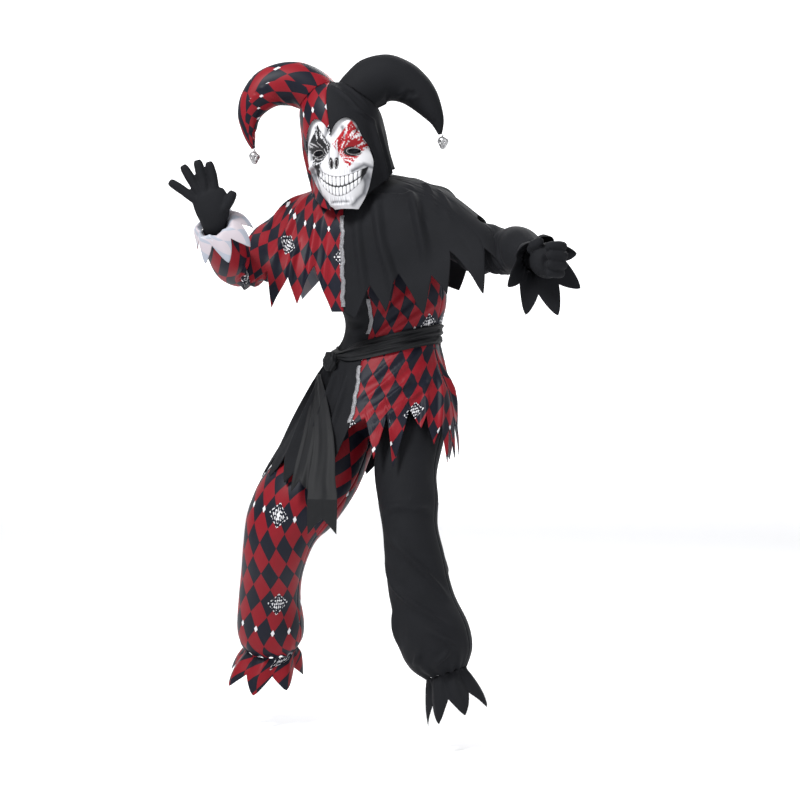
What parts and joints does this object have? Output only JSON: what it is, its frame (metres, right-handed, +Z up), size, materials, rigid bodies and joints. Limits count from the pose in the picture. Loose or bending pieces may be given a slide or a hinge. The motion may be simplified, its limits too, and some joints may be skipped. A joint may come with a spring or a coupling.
{
  "type": "jester costume",
  "caption": "Child's two-colour harlequin jester costume: horned hood, skull mask, zigzag cape, tunic with sash, trousers and gloves, hollow, as worn",
  "frame": {"origin": "base of the neck, on the wearer's axis, at the neck opening of the tunic", "axes": "+Z up, -Y towards the viewer of the picture, +X to the viewer's right, which is the wearer's left"},
  "size_m": [0.8449, 0.6046, 1.4251],
  "materials": {
    "print_satin": "satin, red and navy lozenges",
    "black_knit": "matte knit",
    "sash_satin": "satin",
    "silver_braid": "woven, glinting",
    "antique_silver": "silver paint with dark hollows",
    "mask_white": "satin, printed"
  },
  "bodies": {
    "root": {"hood_right": "print_satin", "horn_right": "print_satin", "cape_front_right": "print_satin", "cape_back_right": "print_satin", "tunic_front_left": "print_satin", "tunic_back_left": "print_satin", "sleeve_right": "print_satin", "cuff_right": "print_satin", "trouser_right_front": "print_satin", "trouser_right_back": "print_satin", "frill_right": "print_satin", "hood_left": "black_knit", "horn_left": "black_knit", "cape_front_left": "black_knit", "cape_back_left": "black_knit", "tunic_front_right": "black_knit", "tunic_back_right": "black_knit", "sleeve_left": "black_knit", "cuff_left": "black_knit", "trouser_left_front": "black_knit", "trouser_left_back": "black_knit", "frill_left": "black_knit", "waistband": "black_knit", "glove_right": "black_knit", "glove_left": "black_knit", "sash_wrap": "sash_satin", "sash_knot": "sash_satin", "sash_tail_front": "sash_satin", "sash_tail_back": "sash_satin", "braid_cape": "silver_braid", "braid_waist": "silver_braid", "braid_skirt": "silver_braid", "charm_right": "antique_silver", "charm_left": "antique_silver", "mask": "mask_white"}
  },
  "joints": []
}
